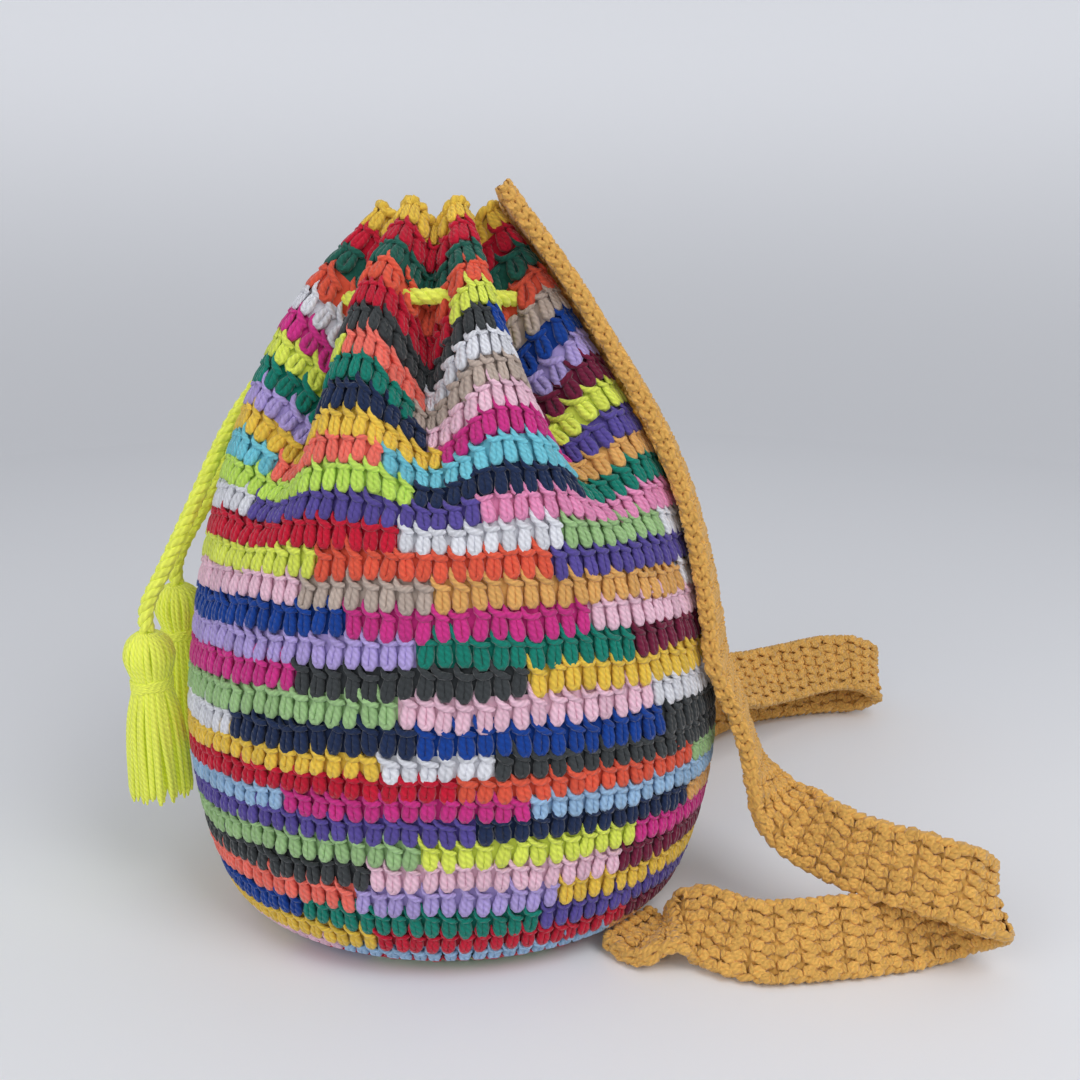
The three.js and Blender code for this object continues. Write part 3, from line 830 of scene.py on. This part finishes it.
# A strap along a route: stitches on both faces, chains round the edge and a core
def strap(name, route, seed):
    line, length = smooth(route, strap_step)
    rows = round(length / strap_row)
    at = np.linspace(0, rows, len(line))
    along = unit(np.gradient(line[:, :3], axis=0))
    across = unit(line[:, 3:] - along * np.sum(line[:, 3:] * along, axis=1, keepdims=True))
    face = np.cross(along, across)

    # The values of a table along the strap, at v rows from its top
    def follow(v, table):
        return np.stack([np.interp(v, at, column) for column in table.T], axis=-1)

    # One face of the band; two short rows make a row, the second worked back against the first
    def band_surface(side, way, row_middle):
        def surface(u, v):
            v = (row_middle + way * (v - row_middle)) / 2
            width = (strap_half - strap_margin) * 2 * (u / strap_columns - 0.5)
            point = follow(v, line[:, :3]) + follow(v, across) * width[..., None]
            normal = side * follow(v, face)
            pitch = np.full(u.shape, 2 * strap_half / strap_columns)
            return point + normal * strap_thick / 2, normal, pitch

        return surface

    parts = []
    for side in (1, -1):
        for way in (1, -1):
            row, column = np.divmod(np.arange(rows * strap_columns), strap_columns)
            brick = strap_brick * (-1.0) ** row
            row = 2 * row + (way < 0)
            surface = band_surface(side, way, row[:, None] + 0.5)
            parts += crochet(column + 0.5 + brick, row.astype(float), surface, np.zeros(len(row), int),
                             strap_bar_height, seed + side + way,
                             plain_loop, plain_bar, plain_sides, strap_leg)

    # The chains along the two edges
    edge_at = np.linspace(0, rows, rows * edge_steps + 1)
    edge_side = follow(edge_at, across)
    for side in (1, -1):
        for phase in (0, 1):
            swing = np.pi * (2 * edge_at + phase)
            off = follow(edge_at, face) * (chain_swing * np.cos(swing))[:, None]
            out = edge_side * (side * (strap_half - edge_inset + chain_wave * np.sin(2 * swing)))[:, None]
            edge = follow(edge_at, line[:, :3]) + off + out
            outward = side * edge_side
            parts.append(single_strand(edge, outward, strap_yarn, strap_chain_sides, strap_yarn_tip))

    # The chains across the two ends
    reach = np.linspace(-1, 1, cast_off_points)[:, None] * (strap_half - cast_off_inset)
    for end, inward in ((0, 1), (-1, -1)):
        for phase in (0, 1):
            swing = np.pi * (reach / cast_off_link + phase)
            cast_off = line[end, :3] + across[end] * reach + face[end] * chain_swing * np.cos(swing)
            cast_off = cast_off + inward * along[end] * (cast_off_depth + cast_off_wave * np.sin(2 * swing))
            outward = np.broadcast_to(-inward * along[end], cast_off.shape)
            parts.append(single_strand(cast_off, outward, strap_yarn, strap_chain_sides))

    # The strands that lie deeper in the band, as one flat core
    core_at = np.linspace(core_end, rows - core_end, rows * core_steps + 1)
    core = follow(core_at, line[:, :3])
    core_size = np.array([strap_half - core_inset, strap_thick / 2 - core_cover])
    parts.append(single_strand(core, follow(core_at, face), core_size, core_sides, strap_yarn_tip))
    band = yarn_piece(name + "_stitches", parts, [mustard], floor=table_gap)
    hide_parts(name)


right_strap_route = strap_route(side=1, touch_angle=12, leave_spread=0.032, loop=right_loop)
left_strap_route = strap_route(side=-1, touch_angle=26, leave_spread=0.056, loop=left_loop)
strap("strap_right", right_strap_route, seed=21)
strap("strap_left", left_strap_route, seed=31)


# Table and backdrop: a pale round table top that sweeps up into a pale wall on every side. They are
# no part of the bag. The wall glows faintly, and the light of the room goes through it.
table_radius = 1.3
sweep_radius = 1.1
sweep_top = 3.2
sweep_steps = 16
sweep_sides = 72
sweep = []
for k in range(sweep_steps + 1):
    bend = k / sweep_steps * math.pi / 2
    rise = sweep_radius - sweep_radius * math.cos(bend)
    sweep.append((table_radius + sweep_radius * math.sin(bend), rise))
sweep.append((table_radius + sweep_radius, sweep_top))
sweep_points = []
for reach, rise in sweep:
    for k in range(sweep_sides):
        bearing = k / sweep_sides * 2 * math.pi
        sweep_points.append((reach * math.cos(bearing), reach * math.sin(bearing), rise))
sweep_faces = []
for ring in range(len(sweep) - 1):
    for k in range(sweep_sides):
        first = ring * sweep_sides + k
        second = ring * sweep_sides + (k + 1) % sweep_sides
        sweep_faces.append((first, first + sweep_sides, second + sweep_sides, second))
pale = bpy.data.materials.new("pale_table")
pale.use_nodes = True
pale_nodes = pale.node_tree.nodes
pale_links = pale.node_tree.links
pale_shader = pale_nodes["Principled BSDF"]
pale_shader.inputs["Base Color"].default_value = (0.86, 0.87, 0.90, 1.0)
pale_shader.inputs["Roughness"].default_value = 0.7
pale_shader.inputs["Emission Color"].default_value = (0.86, 0.88, 0.93, 1.0)
pale_place = pale_nodes.new("ShaderNodeTexCoord")
pale_axes = pale_nodes.new("ShaderNodeSeparateXYZ")
pale_links.new(pale_place.outputs["Object"], pale_axes.inputs["Vector"])
pale_glow = pale_nodes.new("ShaderNodeMapRange")
pale_glow.interpolation_type = "SMOOTHSTEP"
pale_glow.inputs["From Max"].default_value = 0.7
pale_glow.inputs["To Max"].default_value = 0.24
pale_links.new(pale_axes.outputs["Z"], pale_glow.inputs["Value"])
pale_links.new(pale_glow.outputs["Result"], pale_shader.inputs["Emission Strength"])
for name, points, faces in (
    ("table", sweep_points[:sweep_sides], [range(sweep_sides)]),
    ("wall_sweep", sweep_points, sweep_faces),
):
    stage_mesh = bpy.data.meshes.new(name)
    stage_mesh.from_pydata(points, [], faces)
    stage_mesh.shade_smooth()
    stage_mesh.materials.append(pale)
    stage_piece = bpy.data.objects.new(name, stage_mesh)
    bpy.context.scene.collection.objects.link(stage_piece)
    stage_piece.visible_diffuse = name == "table"
    stage_piece.visible_shadow = name == "table"


# Light: a bright room, which looks a plain pale colour where it is seen, a large soft lamp above on the
# strap side and a weaker one on the tassel side.
world = bpy.data.worlds.new("room")
bpy.context.scene.world = world
world.use_nodes = True
world_nodes = world.node_tree.nodes
world_links = world.node_tree.links
room = world_nodes["Background"]
room.inputs["Color"].default_value = (0.93, 0.95, 1.0, 1.0)
room.inputs["Strength"].default_value = 0.46
seen_room = world_nodes.new("ShaderNodeBackground")
seen_room.inputs["Color"].default_value = (0.80, 0.81, 0.84, 1.0)
rays = world_nodes.new("ShaderNodeLightPath")
either = world_nodes.new("ShaderNodeMixShader")
shows_room = rays.outputs["Is Camera Ray"]
for kind in ("Is Glossy Ray", "Is Transmission Ray"):
    larger = world_nodes.new("ShaderNodeMath")
    larger.operation = "MAXIMUM"
    world_links.new(shows_room, larger.inputs[0])
    world_links.new(rays.outputs[kind], larger.inputs[1])
    shows_room = larger.outputs["Value"]
world_links.new(shows_room, either.inputs["Fac"])
world_links.new(room.outputs["Background"], either.inputs[1])
world_links.new(seen_room.outputs["Background"], either.inputs[2])
world_links.new(either.outputs["Shader"], world_nodes["World Output"].inputs["Surface"])

for name, place, aim, size, power in (
    ("lamp_above", (0.75, 0.75, 1.25), (0.0, 0.03, 0.15), 0.9, 9.5),
    ("lamp_front", (1.1, -0.9, 0.9), (0.0, 0.0, 0.15), 1.0, 6.5),
):
    lamp_data = bpy.data.lights.new(name, "AREA")
    lamp_data.size = size
    lamp_data.energy = power
    lamp = bpy.data.objects.new(name, lamp_data)
    lamp.location = place
    away = np.array(place) - np.array(aim)
    tip_over = math.atan2(math.hypot(away[0], away[1]), away[2])
    lamp.rotation_euler = (tip_over, 0.0, math.atan2(away[1], away[0]) + math.pi / 2)
    bpy.context.scene.collection.objects.link(lamp)

bpy.context.scene.view_settings.view_transform = "Standard"
